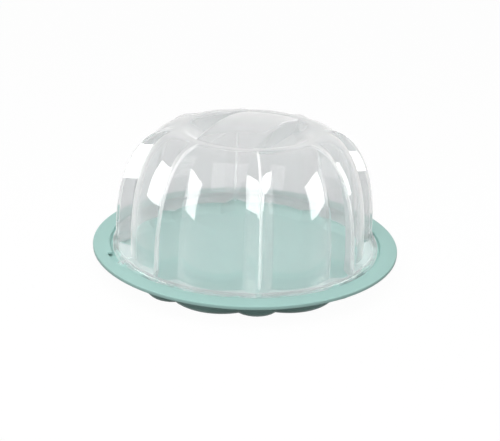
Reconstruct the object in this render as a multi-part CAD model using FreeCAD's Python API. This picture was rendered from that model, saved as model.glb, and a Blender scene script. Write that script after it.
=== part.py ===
import FreeCAD, Part
import math
import os

# A round cake keeper in two mouldings: a tray with a flat rim, a stepped seat and a
# scalloped well, and a clear fluted lid whose crown is a grip bar between two finger
# scoops. Millimetres, +Z up, with the origin at the centre of the tray's underside.
# The grip bar runs along Y. Angles are measured from -Y towards +X.

# Flutes, the same count and places on both pieces
flute_count = 8
flute_start = math.radians(-15.4)

# Tray
rim_radius = 165.0
rim_width = 18.0
rim_thickness = 2.6
rim_lip_height = 4.0
tray_height = 25.0
tray_wall = 2.4
seat_depth = 5.0
seat_width = 7.0
well_draft = math.radians(2.0)
well_bevel = 7.0
foot_bevel = 4.0
groove_depth = 7.5
groove_angle = math.radians(8.0)
foot_ring_width = 9.0
foot_recess_depth = 1.2

# Lid
lid_wall = 2.2
flange_gap = 3.0
flange_thickness = 2.4
flange_ledge = 2.0
flute_depth = 18.0
flute_angle = math.radians(6.8)
lobe_setback = 12.5
dome_height = 128.8
shoulder_radius = 76.0
dome_fullness = 2.35
flute_fade_power = 0.75
wall_step_power = 1.5
ridge_left_share = 0.05
crown_land = 4.0
scoop_depth = 15.0
scoop_run = 26.0
scoop_slope = math.radians(45.0)
bar_half_width = 31.0
bar_end_land = 7.5
bar_rise = 9.0
bar_draft = math.radians(6.0)
bar_edge_bevel = 2.0

# Twist lock: tabs on the lid's flange and the pockets for them under the tray's rim
tab_angle = math.radians(-30.4)
tab_count = 2
tab_length = 26.0
tab_reach = 8.0
tab_corner = 4.0
tab_gap = 1.0
tab_headroom = 0.6

# Counts of the steps in the lofted walls, and the overrun of the cuts
wall_steps = 9
blend_steps = 1
overrun = 2.0

# Places that follow from the sizes above
seat_radius = rim_radius - rim_width
seat_z = tray_height - seat_depth
flange_radius = seat_radius - flange_gap
flute_tip = flange_radius - flange_ledge
shoulder_z = seat_z + dome_height
scoop_floor_z = shoulder_z - scoop_depth
scoop_radius = shoulder_radius - crown_land
scoop_floor_radius = scoop_radius - scoop_run
bar_end_radius = shoulder_radius - bar_end_land
bar_top_z = shoulder_z + bar_rise
flute_pitch = 2 * math.pi / flute_count
up = FreeCAD.Vector(0, 0, 1)
origin = FreeCAD.Vector(0, 0, 0)


def polar(radius, angle, z):
    """A point at a radius and an angle from -Y towards +X."""
    return FreeCAD.Vector(radius * math.sin(angle), -radius * math.cos(angle), z)


def arc(start, middle, end):
    return Part.Arc(start, middle, end).toShape()


def line(start, end):
    return Part.LineSegment(start, end).toShape()


def revolved(points, turn=360.0):
    """A solid turned about Z from a closed outline of radius and height pairs."""
    corners = [FreeCAD.Vector(radius, 0, z) for radius, z in points]
    outline = Part.makePolygon(corners + corners[:1])
    return Part.Face(outline).revolve(origin, up, turn)


def sector(inner, outer, low, high, middle, length):
    """A ring segment of a given arc length, measured along its outer radius."""
    turn = length / outer
    block = revolved([(inner, low), (outer, low), (outer, high), (inner, high)], math.degrees(turn))
    block.rotate(origin, up, math.degrees(middle - turn / 2 - math.pi / 2))
    return block


def bulge(chord_radius, half_angle, crown_radius):
    """Centre distance and radius of the arc through a crown and two points beside it."""
    half_chord = chord_radius * math.sin(half_angle)
    sagitta = crown_radius - chord_radius * math.cos(half_angle)
    radius = (half_chord ** 2 + sagitta ** 2) / (2 * sagitta)
    return crown_radius - radius, radius


# The scalloped well: round lobes at the flutes and broad lobes between them
def scallop_outline(lobe_radius, z):
    groove_radius = lobe_radius - groove_depth
    edges = []
    for index in range(flute_count):
        flute = flute_start + index * flute_pitch
        before = polar(groove_radius, flute - groove_angle, z)
        after = polar(groove_radius, flute + groove_angle, z)
        following = polar(groove_radius, flute + flute_pitch - groove_angle, z)
        edges.append(arc(before, polar(lobe_radius, flute, z), after))
        edges.append(arc(after, polar(lobe_radius, flute + flute_pitch / 2, z), following))
    return Part.Wire(edges)


def scalloped_pan(inset, floor_z, bevel, top_z):
    """A scalloped block with a drafted wall and a bevelled bottom edge."""
    outlines = []
    for z, step_in in ((floor_z, bevel), (floor_z + bevel, 0), (top_z, 0)):
        lean = (seat_z - z) * math.tan(well_draft)
        lobe_radius = seat_radius - seat_width + tray_wall - inset - lean - step_in
        outlines.append(scallop_outline(lobe_radius, z))
    return Part.makeLoft(outlines, True, True)


def lock_places():
    return [tab_angle + index * 2 * math.pi / tab_count for index in range(tab_count)]


def make_tray():
    ledge_z = seat_z - tray_wall
    step_radius = seat_radius + tray_wall
    rim_under_z = tray_height - rim_thickness
    lip_z = tray_height - rim_lip_height
    lip_radius = rim_radius - tray_wall
    core_radius = seat_radius - seat_width - 2 * groove_depth
    rim = revolved([
        (core_radius, ledge_z), (step_radius, ledge_z), (step_radius, rim_under_z),
        (lip_radius, rim_under_z), (lip_radius, lip_z), (rim_radius, lip_z),
        (rim_radius, tray_height), (seat_radius, tray_height), (seat_radius, seat_z),
        (core_radius, seat_z),
    ])
    tray = rim.fuse(scalloped_pan(0, 0, foot_bevel, seat_z))

    # Housings of the twist lock stand under the rim, with a lip left over each slot
    pocket_radius = flange_radius + tab_reach + tab_gap
    pocket_length = tab_length + 2 * tab_gap
    slot_roof = seat_z + flange_thickness + tab_headroom
    for place in lock_places():
        turn = pocket_length / pocket_radius
        housing = sector(seat_radius, pocket_radius + tray_wall, ledge_z, rim_under_z + overrun / 2,
                         place + turn / 2, 2 * pocket_length + 2 * tray_wall)
        tray = tray.fuse(housing)
    for place in lock_places():
        turn = pocket_length / pocket_radius
        pocket = sector(seat_radius - overrun, pocket_radius, seat_z, tray_height + overrun,
                        place, pocket_length)
        slot = sector(seat_radius - overrun, pocket_radius, seat_z, slot_roof,
                      place + turn / 2, 2 * pocket_length)
        tray = tray.cut(pocket).cut(slot)

    floor_z = foot_recess_depth + tray_wall
    well = scalloped_pan(tray_wall, floor_z, well_bevel, tray_height + overrun)
    tray = tray.cut(well)
    recess_radius = seat_radius - seat_width - groove_depth - foot_bevel - foot_ring_width
    tray = tray.cut(Part.makeCylinder(recess_radius, foot_recess_depth))
    return tray.removeSplitter()


# The fluted lid: the crest line of a flute rises from the flange and rounds over
# to the shoulder, where the flutes die out
def crest(share):
    """Radius and height on the crest line, from 0 at the flange to 1 on the shoulder."""
    swing = share * math.pi / 2
    out = max(math.cos(swing), 0.0) ** (2 / dome_fullness)
    rise = math.sin(swing) ** (2 / dome_fullness)
    return shoulder_radius + (flute_tip - shoulder_radius) * out, seat_z + dome_height * rise


def crest_normal(share):
    """Outward direction of the crest line, as its radial and vertical parts."""
    nudge_share = 0.001
    before = crest(max(share - nudge_share, 0.0))
    after = crest(min(share + nudge_share, 1.0))
    along = (after[0] - before[0], after[1] - before[1])
    length = math.hypot(along[0], along[1])
    return along[1] / length, -along[0] / length


def lid_outline(share, depth):
    """One level outline of the fluted wall, at a depth below its outer face."""
    tip, z = crest(share)
    radial, vertical = crest_normal(share)
    inset = depth * radial
    z -= depth * vertical
    spread = (tip - shoulder_radius) / (flute_tip - shoulder_radius)
    fade = max(spread, 0.0) ** flute_fade_power
    fade = max(fade, ridge_left_share)
    valley = tip - flute_depth * fade
    half_pitch = flute_pitch / 2
    centre, radius = bulge(valley, half_pitch - flute_angle, tip - lobe_setback * fade)
    radius -= inset

    # A flute's two flat faces meet in a crest and run down to the lobes beside it
    face_across = valley * math.sin(flute_angle)
    face_along = tip - valley * math.cos(flute_angle)
    face_length = math.hypot(face_across, face_along)
    inner_tip = tip - inset * face_length / face_across
    step_x = -face_along / face_length
    step_y = face_across / face_length
    from_x = inner_tip - centre * math.cos(half_pitch)
    from_y = -centre * math.sin(half_pitch)
    half_b = from_x * step_x + from_y * step_y
    reach = -half_b - math.sqrt(half_b ** 2 - (from_x ** 2 + from_y ** 2 - radius ** 2))
    valley_x = inner_tip + reach * step_x
    valley_y = reach * step_y
    inner_valley = math.hypot(valley_x, valley_y)
    valley_turn = math.atan2(valley_y, valley_x)
    edges = []
    for index in range(flute_count):
        flute = flute_start + index * flute_pitch
        before = polar(inner_valley, flute - valley_turn, z)
        ridge = polar(inner_tip, flute, z)
        after = polar(inner_valley, flute + valley_turn, z)
        following = polar(inner_valley, flute + flute_pitch - valley_turn, z)
        edges.append(line(before, ridge))
        edges.append(line(ridge, after))
        edges.append(arc(after, polar(centre + radius, flute + half_pitch, z), following))
    return Part.Wire(edges)


def fluted_dome(depth):
    """The dome up to its shoulder as a full block, at a depth below its outer face."""
    outlines = []
    for step in range(wall_steps + 1):
        share = 1 - (1 - step / wall_steps) ** wall_step_power
        outlines.append(lid_outline(share, depth))
    return Part.makeLoft(outlines, True, True)


def bar_slab(low_z, depth):
    """A drafted block as wide as the grip bar, from a height to above the bar's top."""
    high_z = bar_top_z + overrun
    inset = depth / math.cos(bar_draft)
    low_half = bar_half_width + (bar_top_z - low_z) * math.tan(bar_draft) - inset
    high_half = bar_half_width - overrun * math.tan(bar_draft) - inset
    corners = [FreeCAD.Vector(x, -shoulder_radius, z) for x, z in
               ((-low_half, low_z), (low_half, low_z), (high_half, high_z), (-high_half, high_z))]
    section = Part.Face(Part.makePolygon(corners + corners[:1]))
    return section.extrude(FreeCAD.Vector(0, 2 * shoulder_radius, 0))


def scoops(depth):
    """The two finger scoops: a round bowl with a flat floor, split by the bar."""
    sine = math.sin(scoop_slope)
    cosine = math.cos(scoop_slope)
    blend = (scoop_run * sine - scoop_depth * cosine) / (2 * (1 - cosine))
    floor_blend = blend + depth
    brow_blend = blend - depth
    floor_z = scoop_floor_z - depth
    high_z = shoulder_z + overrun
    swings = [step * scoop_slope / blend_steps for step in range(blend_steps + 1)]
    on_floor = [(scoop_floor_radius + floor_blend * math.sin(swing),
                 scoop_floor_z + blend - floor_blend * math.cos(swing)) for swing in swings]
    on_brow = [(scoop_radius - brow_blend * math.sin(swing),
                shoulder_z - blend + brow_blend * math.cos(swing)) for swing in reversed(swings)]
    bowl = revolved([(0, floor_z)] + on_floor + on_brow + [(scoop_radius, high_z), (0, high_z)])
    bowl.rotate(origin, up, 90)
    return bowl.cut(bar_slab(floor_z - overrun, depth))


def bar_crown(depth):
    """The bar's crowned top as a block: a slice of a ball that dips below the shoulder."""
    radius = (bar_end_radius ** 2 + bar_rise ** 2) / (2 * bar_rise)
    centre = FreeCAD.Vector(0, 0, bar_top_z - radius)
    across = FreeCAD.Vector(1, 0, 0)
    ball = Part.makeSphere(radius - depth, centre, across)
    ball.rotate(centre, across, 180)
    return bar_slab(shoulder_z - 2 * lid_wall, depth).common(ball)


def make_lid():
    crown = bar_crown(0)
    long_edges = [edge for edge in crown.Edges
                  if edge.BoundBox.YLength > bar_end_radius and edge.BoundBox.ZMax > shoulder_z]
    crown = crown.makeChamfer(bar_edge_bevel, long_edges)
    flange = Part.makeCylinder(flange_radius, flange_thickness, FreeCAD.Vector(0, 0, seat_z))
    block = fluted_dome(0).cut(scoops(0)).fuse(crown).fuse(flange)
    for place in lock_places():
        tab = sector(flute_tip, flange_radius + tab_reach, seat_z, seat_z + flange_thickness,
                     place, tab_length)
        outer_corners = [edge for edge in tab.Edges
                         if edge.BoundBox.ZLength > flange_thickness / 2
                         and math.hypot(edge.CenterOfMass.x, edge.CenterOfMass.y) > flange_radius]
        block = block.fuse(tab.makeFillet(tab_corner, outer_corners))
    hollow = fluted_dome(lid_wall).cut(scoops(lid_wall)).fuse(bar_crown(lid_wall))
    return block.cut(hollow).removeSplitter()


os.makedirs("parts", exist_ok=True)
for name, make in (("base_tray", make_tray), ("dome_lid", make_lid)):
    shape = make().Solids[0]
    shape.exportStep("parts/" + name + ".step")
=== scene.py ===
import bpy
import math
from mathutils import Matrix, Vector


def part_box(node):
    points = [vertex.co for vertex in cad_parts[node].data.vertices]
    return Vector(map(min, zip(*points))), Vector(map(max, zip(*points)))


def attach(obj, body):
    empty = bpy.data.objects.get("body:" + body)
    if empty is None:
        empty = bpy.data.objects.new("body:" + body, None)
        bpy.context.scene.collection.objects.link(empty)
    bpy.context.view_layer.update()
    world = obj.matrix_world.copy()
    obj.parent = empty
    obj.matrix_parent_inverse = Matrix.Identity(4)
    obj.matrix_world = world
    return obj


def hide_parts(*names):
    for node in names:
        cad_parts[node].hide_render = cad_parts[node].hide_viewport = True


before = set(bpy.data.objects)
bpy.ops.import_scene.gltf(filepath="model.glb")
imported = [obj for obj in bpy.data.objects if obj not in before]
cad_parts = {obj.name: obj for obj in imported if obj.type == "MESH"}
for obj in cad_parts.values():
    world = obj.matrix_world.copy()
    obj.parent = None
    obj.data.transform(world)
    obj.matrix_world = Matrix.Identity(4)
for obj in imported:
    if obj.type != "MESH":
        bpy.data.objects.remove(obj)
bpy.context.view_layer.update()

# The tray is one moulding of mint plastic with a fine satin grain. Its flat rim is turned
# down at the edge, and a step inside the rim holds the lid's flange over a scalloped well
# that stands on a foot ring.
tray_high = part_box("base_tray")[1]
flute_count = 8
flute_start = math.radians(-15.4)
rim_radius = tray_high.x
rim_width = 0.018
rim_thickness = 0.0026
rim_lip_height = 0.004
tray_height = tray_high.z
tray_wall = 0.0024
seat_depth = 0.005
seat_width = 0.007
well_draft = math.radians(2.0)
well_bevel = 0.007
foot_bevel = 0.004
groove_depth = 0.0075
groove_angle = math.radians(8.0)
foot_ring_width = 0.009
foot_recess_depth = 0.0012
edge_round = 0.0011
step_round = 0.0016
well_round = 0.006
steps_in_kink = 4
steps_in_lobe = 16
tray_smooth_angle = math.radians(35.0)
tray_grain_scale = 900.0
tray_roughness = (0.36, 0.5)
tray_bump = 0.15
tray_specular = 0.18
mint = (0.365, 0.57, 0.53, 1.0)
mint_shade = (0.345, 0.55, 0.512, 1.0)

flute_pitch = 2 * math.pi / flute_count
steps_in_flute = 2 * steps_in_kink + steps_in_lobe
seat_radius = rim_radius - rim_width
seat_z = tray_height - seat_depth
well_radius = seat_radius - seat_width
floor_z = foot_recess_depth + tray_wall
recess_radius = well_radius - groove_depth - foot_bevel - foot_ring_width


def deselect_all():
    """Leaves edit mode and selects nothing."""
    if bpy.context.object and bpy.context.object.mode == "EDIT":
        bpy.ops.object.mode_set(mode="OBJECT")
    bpy.ops.object.select_all(action="DESELECT")


def take(piece):
    """Makes a piece the only selected and active object."""
    deselect_all()
    piece.select_set(True)
    bpy.context.view_layer.objects.active = piece


def rounded(corners):
    """Turns corners of radius, height and rounding into a line with arcs at the corners."""
    arc_steps = 4
    line = []
    for index, (radius, z, bend) in enumerate(corners):
        here = Vector((radius, z))
        if bend == 0:
            line.append((radius, z))
            continue
        back = (Vector(corners[index - 1][:2]) - here).normalized()
        ahead = (Vector(corners[index + 1][:2]) - here).normalized()
        half = back.angle(ahead) / 2
        centre = here + (back + ahead).normalized() * bend / math.sin(half)
        first = here + back * bend / math.tan(half) - centre
        last = here + ahead * bend / math.tan(half) - centre
        for step in range(arc_steps + 1):
            spoke = first.slerp(last, step / arc_steps).normalized() * bend
            line.append(tuple(centre + spoke))
    return line


def face_outward():
    """Turns all faces of the piece in edit mode outward, and leaves edit mode."""
    bpy.ops.mesh.select_all(action="SELECT")
    bpy.ops.mesh.normals_make_consistent(inside=False)
    bpy.ops.object.mode_set(mode="OBJECT")


def turned(name, line, turn=2 * math.pi, steps=flute_count * steps_in_flute, start=0.0):
    """Spins a line of radius and height pairs about Z, from a start angle, into a skin."""
    weld_distance = 0.00001
    mesh = bpy.data.meshes.new(name)
    points = [(radius * math.sin(start), -radius * math.cos(start), z) for radius, z in line]
    mesh.from_pydata(points, [(i, i + 1) for i in range(len(points) - 1)], [])
    piece = bpy.data.objects.new(name, mesh)
    bpy.context.scene.collection.objects.link(piece)
    take(piece)
    bpy.ops.object.mode_set(mode="EDIT")
    bpy.ops.mesh.select_all(action="SELECT")
    bpy.ops.mesh.spin(steps=steps, angle=turn, center=(0, 0, 0), axis=(0, 0, 1))
    bpy.ops.mesh.select_all(action="SELECT")
    bpy.ops.mesh.remove_doubles(threshold=weld_distance)
    face_outward()
    return piece


def lobe_reach(off, half_angle, valley, crown):
    """Distance from the axis of a round lobe between two valleys, at an angle from its middle."""
    half_chord = valley * math.sin(half_angle)
    sagitta = crown - valley * math.cos(half_angle)
    arc_radius = (half_chord ** 2 + sagitta ** 2) / (2 * sagitta)
    centre = crown - arc_radius
    return centre * math.cos(off) + math.sqrt(arc_radius ** 2 - (centre * math.sin(off)) ** 2)


def spread_turn(point, kink_angle):
    """The flute next to a spun point, and the point's turn from it with a point on each kink."""
    angle = math.atan2(point.co.x, -point.co.y) - flute_start
    flute = round(angle / flute_pitch) * flute_pitch
    step = (angle - flute) / flute_pitch * steps_in_flute
    if abs(step) <= steps_in_kink:
        turn = step / steps_in_kink * kink_angle
    else:
        lobe_share = (abs(step) - steps_in_kink) / (steps_in_lobe / 2)
        turn = math.copysign(kink_angle + lobe_share * (flute_pitch / 2 - kink_angle), step)
    return flute + flute_start, turn


def press(piece, inner, outer, kink_angle, reach):
    """Presses the points between two radii to the reach for their turn from a flute and radius."""
    for point in piece.data.vertices:
        radius = math.hypot(point.co.x, point.co.y)
        if inner < radius < outer:
            flute, turn = spread_turn(point, kink_angle)
            radius = reach(turn, radius)
            point.co.x = radius * math.sin(flute + turn)
            point.co.y = -radius * math.cos(flute + turn)


def scallop(turn, radius):
    """Reach of the scalloped well at a turn from a flute: a narrow lobe, then a broad one."""
    groove = well_radius - groove_depth
    half_pitch = flute_pitch / 2
    if abs(turn) <= groove_angle:
        reach = lobe_reach(turn, groove_angle, groove, well_radius)
    else:
        reach = lobe_reach(half_pitch - abs(turn), half_pitch - groove_angle, groove, well_radius)
    return radius * (reach / well_radius)


def lean_in(z):
    """How far the well's wall has come in at a height, by its draft."""
    return (seat_z - z) * math.tan(well_draft)


rim_under_z = tray_height - rim_thickness
step_radius = seat_radius + tray_wall
ledge_z = seat_z - tray_wall
lip_radius = rim_radius - tray_wall
foot_radius = well_radius + tray_wall
tray_line = rounded([
    (0, floor_z, 0),
    (well_radius - lean_in(floor_z) - well_bevel, floor_z, well_round),
    (well_radius - lean_in(floor_z + well_bevel), floor_z + well_bevel, well_round),
    (well_radius, seat_z, edge_round),
    (seat_radius, seat_z, step_round),
    (seat_radius, tray_height, edge_round),
    (rim_radius, tray_height, edge_round),
    (rim_radius, tray_height - rim_lip_height, tray_wall / 3),
    (lip_radius, tray_height - rim_lip_height, tray_wall / 3),
    (lip_radius, rim_under_z, edge_round / 2),
    (step_radius, rim_under_z, step_round),
    (step_radius, ledge_z, edge_round),
    (foot_radius - lean_in(ledge_z), ledge_z, step_round),
    (foot_radius - lean_in(foot_bevel), foot_bevel, foot_bevel),
    (foot_radius - lean_in(0) - foot_bevel, 0, edge_round),
    (recess_radius, 0, foot_recess_depth / 3),
    (recess_radius, foot_recess_depth, foot_recess_depth / 3),
    (0, foot_recess_depth, 0),
])
tray = turned("tray", tray_line, start=flute_start)
press(tray, recess_radius + edge_round, seat_radius - seat_width / 2, groove_angle, scallop)

# Under the rim stand the two housings of the twist lock, moulded in one with the tray. Each has
# an open pocket for a tab and a slot beside it that the tab turns into. The slot and the pocket
# differ a little in their sizes, so that no two of their faces lie in one plane.
lock_angles = (math.radians(-30.4), math.radians(149.6))
flange_gap = 0.003
flange_thickness = 0.0024
tab_length = 0.026
tab_reach = 0.008
tab_gap = 0.001
tab_headroom = 0.0006
overrun = 0.002
slot_pockets = 1.97
block_step = 0.0025
fewest_block_steps = 4


def ring_block(name, inner, outer, low, high, middle, length):
    """A block of a ring with a given arc length along its outer face."""
    turn = length / outer
    line = [(inner, low), (outer, low), (outer, high), (inner, high), (inner, low)]
    steps = max(fewest_block_steps, round(length / block_step))
    block = turned(name, line, turn=turn, steps=steps, start=middle - turn / 2)
    bpy.ops.object.mode_set(mode="EDIT")
    bpy.ops.mesh.select_all(action="SELECT")
    bpy.ops.mesh.fill_holes(sides=4)
    face_outward()
    return block


def combine(piece, tool, operation):
    """Joins a tool to a piece or cuts it out, and removes the tool."""
    take(piece)
    change = piece.modifiers.new("change", "BOOLEAN")
    change.operation = operation
    change.object = tool
    change.solver = "EXACT"
    bpy.ops.object.modifier_apply(modifier="change")
    bpy.data.objects.remove(tool)


flange_radius = seat_radius - flange_gap
pocket_radius = flange_radius + tab_reach + tab_gap
pocket_length = tab_length + 2 * tab_gap
slot_roof = seat_z + flange_thickness + tab_headroom
slot_offset = pocket_length / pocket_radius / 2
for lock in lock_angles:
    housing = ring_block("housing", seat_radius + tray_wall / 2, pocket_radius + tray_wall,
                         ledge_z + edge_round, rim_under_z + rim_thickness / 2,
                         lock + slot_offset, 2 * (pocket_length + tray_wall))
    combine(tray, housing, "UNION")
for lock in lock_angles:
    slot = ring_block("slot", seat_radius - overrun, pocket_radius, seat_z + tab_headroom / 10,
                      slot_roof, lock + slot_offset, slot_pockets * pocket_length)
    combine(tray, slot, "DIFFERENCE")
    pocket = ring_block("pocket", seat_radius - 1.5 * overrun, pocket_radius + tab_gap / 5,
                        seat_z + tab_headroom / 5, tray_height + overrun, lock, pocket_length)
    combine(tray, pocket, "DIFFERENCE")
take(tray)
bpy.ops.object.shade_smooth_by_angle(angle=tray_smooth_angle)


def moulded_grain():
    """The moulding's fine grain: a slow drift of tone and a fine roughness, as a node group."""
    drift_scale = 9.0
    drift_detail = 3.0
    fine_detail = 2.0
    group = bpy.data.node_groups.new("moulded_grain", "ShaderNodeTree")
    for name, kind, direction in (
        ("Light Colour", "NodeSocketColor", "INPUT"),
        ("Dark Colour", "NodeSocketColor", "INPUT"),
        ("Grain Scale", "NodeSocketFloat", "INPUT"),
        ("Roughness Low", "NodeSocketFloat", "INPUT"),
        ("Roughness High", "NodeSocketFloat", "INPUT"),
        ("Colour", "NodeSocketColor", "OUTPUT"),
        ("Roughness", "NodeSocketFloat", "OUTPUT"),
        ("Height", "NodeSocketFloat", "OUTPUT"),
    ):
        group.interface.new_socket(name, in_out=direction, socket_type=kind)
    nodes = group.nodes
    links = group.links
    given = nodes.new("NodeGroupInput")
    put_out = nodes.new("NodeGroupOutput")
    place = nodes.new("ShaderNodeTexCoord").outputs["Object"]
    drift = nodes.new("ShaderNodeTexNoise")
    drift.inputs["Scale"].default_value = drift_scale
    drift.inputs["Detail"].default_value = drift_detail
    links.new(place, drift.inputs["Vector"])
    fine = nodes.new("ShaderNodeTexNoise")
    fine.inputs["Detail"].default_value = fine_detail
    links.new(place, fine.inputs["Vector"])
    links.new(given.outputs["Grain Scale"], fine.inputs["Scale"])
    tone = nodes.new("ShaderNodeMix")
    tone.data_type = "RGBA"
    links.new(drift.outputs["Fac"], tone.inputs["Factor"])
    links.new(given.outputs["Light Colour"], tone.inputs["A"])
    links.new(given.outputs["Dark Colour"], tone.inputs["B"])
    gloss = nodes.new("ShaderNodeMix")
    links.new(fine.outputs["Fac"], gloss.inputs["Factor"])
    links.new(given.outputs["Roughness Low"], gloss.inputs["A"])
    links.new(given.outputs["Roughness High"], gloss.inputs["B"])
    links.new(tone.outputs["Result"], put_out.inputs["Colour"])
    links.new(gloss.outputs["Result"], put_out.inputs["Roughness"])
    links.new(fine.outputs["Fac"], put_out.inputs["Height"])
    return group


grain = moulded_grain()


def plastic(name, light, dark, grain_scale, roughness, bump):
    """A moulded plastic with the grain group on its colour, roughness and normal."""
    grain_height = 0.0002
    material = bpy.data.materials.new(name)
    material.use_nodes = True
    nodes = material.node_tree.nodes
    links = material.node_tree.links
    shader = nodes["Principled BSDF"]
    finish = nodes.new("ShaderNodeGroup")
    finish.node_tree = grain
    finish.inputs["Light Colour"].default_value = light
    finish.inputs["Dark Colour"].default_value = dark
    finish.inputs["Grain Scale"].default_value = grain_scale
    finish.inputs["Roughness Low"].default_value = roughness[0]
    finish.inputs["Roughness High"].default_value = roughness[1]
    relief = nodes.new("ShaderNodeBump")
    relief.inputs["Strength"].default_value = bump
    relief.inputs["Distance"].default_value = grain_height
    links.new(finish.outputs["Colour"], shader.inputs["Base Color"])
    links.new(finish.outputs["Roughness"], shader.inputs["Roughness"])
    links.new(finish.outputs["Height"], relief.inputs["Height"])
    links.new(relief.outputs["Normal"], shader.inputs["Normal"])
    return material, shader


tray_plastic, tray_shader = plastic(
    "mint_plastic", mint, mint_shade, tray_grain_scale, tray_roughness, tray_bump
)
tray_shader.inputs["Specular IOR Level"].default_value = tray_specular
tray.data.materials.clear()
tray.data.materials.append(tray_plastic)
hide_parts("base_tray")
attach(tray, "base")

# The lid is one thin clear moulding. Eight sharp flutes stand out of its wall and die out at
# a round shoulder, and the crown holds two finger scoops with a broad grip bar between them.
# A flange with two lock tabs runs round its foot and stands on the tray's seat.
lid_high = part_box("dome_lid")[1]
lid_wall = 0.0022
flange_ledge = 0.002
flute_depth = 0.018
flute_angle = math.radians(6.8)
lobe_setback = 0.0125
dome_height = 0.1288
shoulder_radius = 0.076
dome_fullness = 2.35
flute_fade_power = 0.75
ridge_left_share = 0.05
crown_land = 0.004
scoop_depth = 0.0105
scoop_run = 0.026
scoop_slope = math.radians(29.0)
bar_half_width = 0.031
bar_end_land = 0.0075
bar_draft = math.radians(6.0)
bar_edge_round = 0.0022
crest_round_percent = 42.0
crest_segments = 5
bar_segments = 4
lug_segments = 3
lug_sharpness = math.radians(30.0)
lid_smooth_angle = math.radians(32.0)
bead_width = 0.0055
bead_height = 0.0064
bead_round = 0.0016
lug_length = 0.0082
wall_rings = 44
ring_crowding = 1.5
bowl_rings = 18
lid_grain_scale = 60.0
lid_roughness = (0.03, 0.07)
lid_bump = 0.02
lid_ior = 1.05
lid_sheen_roughness = 0.45
lid_gloss_ior = 1.5
lid_gloss_roughness = 0.03
lamp_tint = (0.93, 0.94, 0.94, 1.0)
wall_clear = (0.755, 0.755, 0.76, 1.0)
wall_haze = (0.735, 0.735, 0.74, 1.0)
wall_transmission = 0.905
# The crests' plastic is whiter and less clear than the wall's: partly the thick edge's milkiness,
# partly a painted highlight along the crests.
crest_clear_painted_highlight = (0.97, 0.97, 0.97, 1.0)
crest_haze_painted_highlight = (0.95, 0.95, 0.95, 1.0)
crest_transmission_painted_highlight = 0.7

flute_tip = flange_radius - flange_ledge
shoulder_z = seat_z + dome_height
bar_top_z = lid_high.z
bar_rise = bar_top_z - shoulder_z
scoop_floor_z = shoulder_z - scoop_depth
scoop_radius = shoulder_radius - crown_land
scoop_floor_radius = scoop_radius - scoop_run
bar_end_radius = shoulder_radius - bar_end_land


def crest(share):
    """Radius and height on a flute's crest, from 0 at the flange to 1 on the shoulder."""
    swing = share * math.pi / 2
    out = max(math.cos(swing), 0.0) ** (2 / dome_fullness)
    rise = math.sin(swing) ** (2 / dome_fullness)
    wall_foot = seat_z + lid_wall
    height = shoulder_z - wall_foot
    return shoulder_radius + (flute_tip - shoulder_radius) * out, wall_foot + height * rise


def bowl_z(radius):
    """Height of the round bowl that the two finger scoops are part of."""
    sine = math.sin(scoop_slope)
    cosine = math.cos(scoop_slope)
    blend = (scoop_run * sine - scoop_depth * cosine) / (2 * (1 - cosine))
    brow = scoop_radius - radius
    toe = radius - scoop_floor_radius
    if brow <= 0:
        return shoulder_z
    if toe <= 0:
        return scoop_floor_z
    if brow < blend * sine:
        return shoulder_z - blend + math.sqrt(blend ** 2 - brow ** 2)
    if toe < blend * sine:
        return scoop_floor_z + blend - math.sqrt(blend ** 2 - toe ** 2)
    return shoulder_z - blend * (1 - cosine) - (brow - blend * sine) * math.tan(scoop_slope)


def fluted_reach(turn, tip):
    """Distance of the fluted wall from the axis, at an angle from a crest of a given radius."""
    spread = (tip - shoulder_radius) / (flute_tip - shoulder_radius)
    fade = max(max(spread, 0.0) ** flute_fade_power, ridge_left_share)
    if tip < shoulder_radius:
        fade = ridge_left_share * (tip - scoop_radius) / crown_land
    valley = tip - flute_depth * fade
    if abs(turn) <= flute_angle:
        across = valley * math.sin(flute_angle)
        along = tip - valley * math.cos(flute_angle)
        return tip * across / (across * math.cos(turn) + along * math.sin(abs(turn)))
    half_pitch = flute_pitch / 2
    crown = tip - lobe_setback * fade
    return lobe_reach(half_pitch - abs(turn), half_pitch - flute_angle, valley, crown)


lid_line = [(flange_radius, seat_z + lid_wall)]
for ring in range(wall_rings + 1):
    lid_line.append(crest(1 - (1 - ring / wall_rings) ** ring_crowding))
lid_line.append((shoulder_radius - crown_land / 2, shoulder_z))
for ring in range(bowl_rings + 1):
    radius = scoop_radius - scoop_run * ring / bowl_rings
    lid_line.append((radius, bowl_z(radius)))
lid_line.append((scoop_floor_radius / 2, scoop_floor_z))
lid_line.append((0.0, scoop_floor_z))
lid = turned("lid", lid_line, start=flute_start)
press(lid, scoop_radius + edge_round, flute_tip + flange_ledge / 2, flute_angle, fluted_reach)


def select_edges(piece, wanted):
    """Leaves a piece in edit mode with the edges selected that a test of the edge wants."""
    take(piece)
    bpy.ops.object.mode_set(mode="EDIT")
    bpy.ops.mesh.select_mode(type="EDGE")
    bpy.ops.mesh.select_all(action="DESELECT")
    bpy.ops.object.mode_set(mode="OBJECT")
    for edge in piece.data.edges:
        edge.select = wanted(edge)
    bpy.ops.object.mode_set(mode="EDIT")


def on_tab(edge):
    """Tells whether an edge of the lid lies on the flange's rim where a lock tab stands."""
    start, end = (lid.data.vertices[index].co for index in edge.vertices)
    if min(start.xy.length, end.xy.length) < flange_radius - flange_ledge / 2:
        return False
    middle = (start + end) / 2
    angle = math.atan2(middle.x, -middle.y)
    half = tab_length / (flange_radius + tab_reach) / 2
    return min(abs(math.remainder(angle - lock, 2 * math.pi)) for lock in lock_angles) < half


def on_crest(edge):
    """Tells whether an edge of the lid runs up the crest of a flute."""
    start, end = (lid.data.vertices[index].co for index in edge.vertices)
    if min(start.xy.length, end.xy.length) < shoulder_radius + crown_land:
        return False
    if min(start.z, end.z) < seat_z + bead_height:
        return False
    angle = math.atan2(start.x, -start.y) - flute_start
    other = math.atan2(end.x, -end.y) - flute_start
    off = max(abs(math.remainder(angle, flute_pitch)), abs(math.remainder(other, flute_pitch)))
    return off < flute_angle / 100


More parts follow.
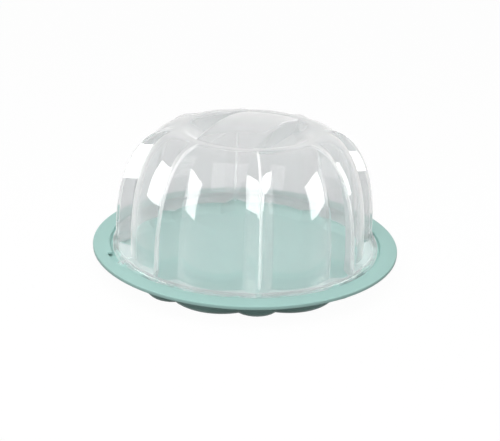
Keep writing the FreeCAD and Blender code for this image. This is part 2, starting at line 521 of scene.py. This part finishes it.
# The two lock tabs are drawn out of the flange's edge, and the skin then gets its wall.
select_edges(lid, on_tab)
bpy.ops.mesh.extrude_edges_move()
grow = (flange_radius + tab_reach) / flange_radius
bpy.ops.transform.resize(value=(grow, grow, 1), center_override=(0, 0, 0))
face_outward()
wall = lid.modifiers.new("wall", "SOLIDIFY")
wall.thickness = lid_wall
wall.offset = -1.0
wall.use_even_offset = True
bpy.ops.object.modifier_apply(modifier="wall")


def bar_block(name, depth, under, end_radius):
    """The grip bar as a block: a ball's slice on top, drafted sides, and a foot on the bowl."""
    columns = 16
    rows = 48
    land_share = 0.92
    ball = (bar_end_radius ** 2 + bar_rise ** 2) / (2 * bar_rise)
    half = bar_half_width - depth / math.cos(bar_draft)
    deselect_all()
    bpy.ops.mesh.primitive_grid_add(x_subdivisions=columns, y_subdivisions=rows, size=2)
    block = bpy.context.object
    block.name = name
    bpy.ops.object.mode_set(mode="EDIT")
    bpy.ops.mesh.select_all(action="SELECT")
    bpy.ops.mesh.extrude_region_move(TRANSFORM_OT_translate={"value": (0, 0, 1)})
    face_outward()
    long_edges = set()
    for point in block.data.vertices:
        across, along, level = point.co
        x = across * half
        if abs(along) <= land_share:
            y = along / land_share * math.sqrt(bar_end_radius ** 2 - x ** 2)
        else:
            past = (abs(along) - land_share) / (1 - land_share)
            radius = bar_end_radius + (end_radius - bar_end_radius) * past
            y = math.copysign(math.sqrt(radius ** 2 - x ** 2), along)
        crown = bar_top_z - ball + math.sqrt((ball - depth) ** 2 - x ** 2 - y ** 2)
        z = max(crown, shoulder_z - depth - lid_wall / 100)
        if level > 0.5 and abs(across) > 0.99:
            long_edges.add(point.index)
        if level < 0.5:
            z = min(bowl_z(math.hypot(x, y)) - under, z - lid_wall / 2)
        lean = (bar_top_z - z) * math.tan(bar_draft)
        point.co = (x * (half + lean) / half, y, z)
    return block, long_edges


bar, bar_long_edges = bar_block("bar", 0.0, lid_wall / 2, scoop_radius + crown_land / 4)
select_edges(bar, lambda edge: bar_long_edges.issuperset(edge.vertices))
bpy.ops.mesh.bevel(offset=bar_edge_round, segments=bar_segments, affect="EDGES")
bpy.ops.object.mode_set(mode="OBJECT")
combine(lid, bar, "UNION")
bar_hollow = bar_block("bar_hollow", lid_wall, 3 * lid_wall, scoop_radius + crown_land / 2)[0]
combine(lid, bar_hollow, "DIFFERENCE")

# A round bead stiffens the flange's edge, and each tab carries a small lug that the thumb feels.
# Both are moulded in one with the lid.
bead_in = flange_radius - bead_width
bead_top = seat_z + bead_height
bead_line = rounded([
    (bead_in, bead_top - bead_height / 2, 0),
    (bead_in, bead_top, bead_round),
    (flange_radius, bead_top, bead_round),
    (flange_radius, seat_z, bead_round / 4),
    (bead_in, seat_z, bead_round / 4),
    (bead_in, bead_top - bead_height / 2, 0),
])
bead = turned("bead", bead_line)
for lock in lock_angles:
    lug = ring_block("lug", flange_radius - bead_width / 3, flange_radius + tab_reach - tab_gap / 2,
                     seat_z + lid_wall / 3, bead_top + edge_round / 2, lock, lug_length)
    take(lug)
    bpy.ops.object.mode_set(mode="EDIT")
    bpy.ops.mesh.select_mode(type="EDGE")
    bpy.ops.mesh.select_all(action="DESELECT")
    bpy.ops.mesh.edges_select_sharp(sharpness=lug_sharpness)
    bpy.ops.mesh.bevel(offset=edge_round, segments=lug_segments, affect="EDGES")
    bpy.ops.object.mode_set(mode="OBJECT")
    combine(bead, lug, "UNION")
combine(lid, bead, "UNION")

# The flutes' crests are rounded last. Their faces get a whiter, milkier plastic: partly the thick
# edge's own milkiness, partly a painted highlight for the bright lines that the lamps draw along
# the crests.
select_edges(lid, on_crest)
bpy.ops.mesh.bevel(
    offset_type="PERCENT", offset_pct=crest_round_percent, segments=crest_segments, affect="EDGES"
)
bpy.ops.object.mode_set(mode="OBJECT")
painted_highlight_faces = [face.index for face in lid.data.polygons if face.select]
take(lid)
bpy.ops.object.shade_smooth_by_angle(angle=lid_smooth_angle)


def see_through(name, light, dark, transmission):
    """A clear plastic that lets lamplight pass, with a smooth glossy skin."""
    material, shader = plastic(name, light, dark, lid_grain_scale, lid_roughness, lid_bump)
    shader.inputs["Transmission Weight"].default_value = transmission
    shader.inputs["IOR"].default_value = lid_ior
    shader.inputs["Sheen Weight"].default_value = 1.0
    shader.inputs["Sheen Roughness"].default_value = lid_sheen_roughness
    shader.inputs["Coat Weight"].default_value = 1.0
    shader.inputs["Coat IOR"].default_value = lid_gloss_ior
    shader.inputs["Coat Roughness"].default_value = lid_gloss_roughness
    nodes = material.node_tree.nodes
    links = material.node_tree.links
    lamp_rays = nodes.new("ShaderNodeLightPath")
    let_through = nodes.new("ShaderNodeBsdfTransparent")
    let_through.inputs["Color"].default_value = lamp_tint
    surface = nodes.new("ShaderNodeMixShader")
    links.new(lamp_rays.outputs["Is Shadow Ray"], surface.inputs["Fac"])
    links.new(shader.outputs["BSDF"], surface.inputs[1])
    links.new(let_through.outputs["BSDF"], surface.inputs[2])
    links.new(surface.outputs["Shader"], nodes["Material Output"].inputs["Surface"])
    return material


wall_plastic = see_through("clear_plastic", wall_clear, wall_haze, wall_transmission)
# The crest faces take the whiter plastic, which paints a highlight along each crest.
crest_milk_and_painted_highlight = see_through("crest_milk_and_painted_highlight", crest_clear_painted_highlight, crest_haze_painted_highlight, crest_transmission_painted_highlight)
lid.data.materials.clear()
lid.data.materials.append(wall_plastic)
lid.data.materials.append(crest_milk_and_painted_highlight)
for index in painted_highlight_faces:
    lid.data.polygons[index].material_index = 1
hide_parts("dome_lid")
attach(lid, "lid")

# The floor is a wide sheet of matt white paper that the keeper stands on. It shows white to the
# eye and in the lid, sends little light up under the tray, and keeps a soft shadow.
floor_half = 3.0
paper_roughness = 0.9
paper_bounce = (0.2, 0.2, 0.2, 1.0)
paper_glow_share = 0.97
white = (1.0, 1.0, 1.0, 1.0)
deselect_all()
bpy.ops.mesh.primitive_plane_add(size=2 * floor_half, location=(0, 0, 0))
floor = bpy.context.object
floor.name = "floor"
white_paper = bpy.data.materials.new("white_paper")
white_paper.use_nodes = True
paper_nodes = white_paper.node_tree.nodes
paper_links = white_paper.node_tree.links


def seen_straight(nodes, links):
    """Adds nodes that give 1 to rays seen straight, in gloss or through the lid, else 0."""
    under_one_bounce = 0.5
    path = nodes.new("ShaderNodeLightPath")
    seen = path.outputs["Is Camera Ray"]
    for ray in ("Is Glossy Ray", "Is Transmission Ray"):
        either = nodes.new("ShaderNodeMath")
        either.operation = "MAXIMUM"
        links.new(seen, either.inputs[0])
        links.new(path.outputs[ray], either.inputs[1])
        seen = either.outputs["Value"]
    no_bounce = nodes.new("ShaderNodeMath")
    no_bounce.operation = "LESS_THAN"
    no_bounce.inputs[1].default_value = under_one_bounce
    links.new(path.outputs["Diffuse Depth"], no_bounce.inputs[0])
    both = nodes.new("ShaderNodeMath")
    both.operation = "MULTIPLY"
    links.new(no_bounce.outputs["Value"], both.inputs[0])
    links.new(seen, both.inputs[1])
    return both.outputs["Value"]


paper = paper_nodes["Principled BSDF"]
paper.inputs["Roughness"].default_value = paper_roughness
paper.inputs["Specular IOR Level"].default_value = 0.0
glow = paper_nodes.new("ShaderNodeEmission")
glow.inputs["Color"].default_value = white
paper_straight = seen_straight(paper_nodes, paper_links)
paper_tone = paper_nodes.new("ShaderNodeMix")
paper_tone.data_type = "RGBA"
paper_tone.inputs["A"].default_value = paper_bounce
paper_tone.inputs["B"].default_value = white
glow_share = paper_nodes.new("ShaderNodeMath")
glow_share.operation = "MULTIPLY"
glow_share.inputs[1].default_value = paper_glow_share
paper_mix = paper_nodes.new("ShaderNodeMixShader")
paper_links.new(paper_straight, paper_tone.inputs["Factor"])
paper_links.new(paper_tone.outputs["Result"], paper.inputs["Base Color"])
paper_links.new(paper_straight, glow_share.inputs[0])
paper_links.new(glow_share.outputs["Value"], paper_mix.inputs["Fac"])
paper_links.new(paper.outputs["BSDF"], paper_mix.inputs[1])
paper_links.new(glow.outputs["Emission"], paper_mix.inputs[2])
paper_links.new(paper_mix.outputs["Shader"], paper_nodes["Material Output"].inputs["Surface"])
floor.data.materials.append(white_paper)

# The room is an even pale dome of light round the keeper. It shows white behind the floor and in
# the lid, and lights the keeper more softly than that.
room_light_level = 0.4
room_seen_level = 1.0
room = bpy.data.worlds.new("room")
bpy.context.scene.world = room
room.use_nodes = True
room_nodes = room.node_tree.nodes
room_links = room.node_tree.links
room_light = room_nodes["Background"]
room_light.inputs["Color"].default_value = white
room_level = room_nodes.new("ShaderNodeMapRange")
room_level.inputs["To Min"].default_value = room_light_level
room_level.inputs["To Max"].default_value = room_seen_level
room_links.new(seen_straight(room_nodes, room_links), room_level.inputs["Value"])
room_links.new(room_level.outputs["Result"], room_light.inputs["Strength"])

# Three softboxes stand round the keeper, each a flat lamp that faces the middle of the lid. The
# two at the sides are only mirrored in the plastic, and the upper one only lights it.
front_azimuth = 23.5
aim_height = 0.09


def outward(azimuth, elevation):
    """Direction away from the keeper at an azimuth from its front and an elevation, in radians."""
    level = math.cos(elevation)
    return Vector((math.sin(azimuth) * level, -math.cos(azimuth) * level, math.sin(elevation)))


def softbox(name, azimuth, elevation, distance, width, height, power):
    """A flat lamp at an azimuth, measured as the camera's, and an elevation, in degrees."""
    lamp = bpy.data.lights.new(name, "AREA")
    lamp.shape = "RECTANGLE"
    lamp.size = width
    lamp.size_y = height
    lamp.energy = power
    holder = bpy.data.objects.new(name, lamp)
    bpy.context.scene.collection.objects.link(holder)
    away = outward(math.radians(azimuth), math.radians(elevation))
    holder.location = Vector((0, 0, aim_height)) + distance * away
    holder.rotation_euler = away.to_track_quat("Z", "Y").to_euler()
    return holder


left_box = softbox("left_box", azimuth=front_azimuth - 78, elevation=13, distance=1.1,
                   width=0.7, height=0.6, power=10.0)
left_box.visible_diffuse = False
right_box = softbox("right_box", azimuth=front_azimuth + 82, elevation=13, distance=1.1,
                    width=0.75, height=0.55, power=10.0)
right_box.visible_diffuse = False
top_box = softbox("top_box", azimuth=front_azimuth - 12, elevation=55, distance=1.15,
                  width=1.2, height=1.2, power=13.5)
top_box.visible_glossy = False

# The camera stands in front of the keeper and looks down on it a little, with a long lens. Its
# small pan, tilt and roll set the frame.
camera_azimuth = math.radians(front_azimuth)
camera_elevation = 0.397171
camera_distance = 1.0
camera_pan = -0.0042437
camera_tilt = 0.0190651
camera_roll = -0.0359978
lens_pixels = 911.364
frame_pixels = 500
sensor_width = 36.0
view = bpy.data.cameras.new("view")
view.sensor_fit = "HORIZONTAL"
view.sensor_width = sensor_width
view.lens = sensor_width * lens_pixels / frame_pixels
camera = bpy.data.objects.new("camera", view)
bpy.context.scene.collection.objects.link(camera)
turn = Matrix.Rotation(camera_azimuth, 4, "Z")
turn = turn @ Matrix.Rotation(math.pi / 2 - camera_elevation, 4, "X")
turn = turn @ Matrix.Rotation(camera_pan, 4, "Y") @ Matrix.Rotation(camera_tilt, 4, "X")
turn = turn @ Matrix.Rotation(-camera_roll, 4, "Z")
away = outward(camera_azimuth, camera_elevation)
place = Vector((0, 0, tray_height)) + camera_distance * away
camera.matrix_world = Matrix.Translation(place) @ turn
bpy.context.scene.camera = camera
bpy.context.scene.view_settings.view_transform = "Standard"
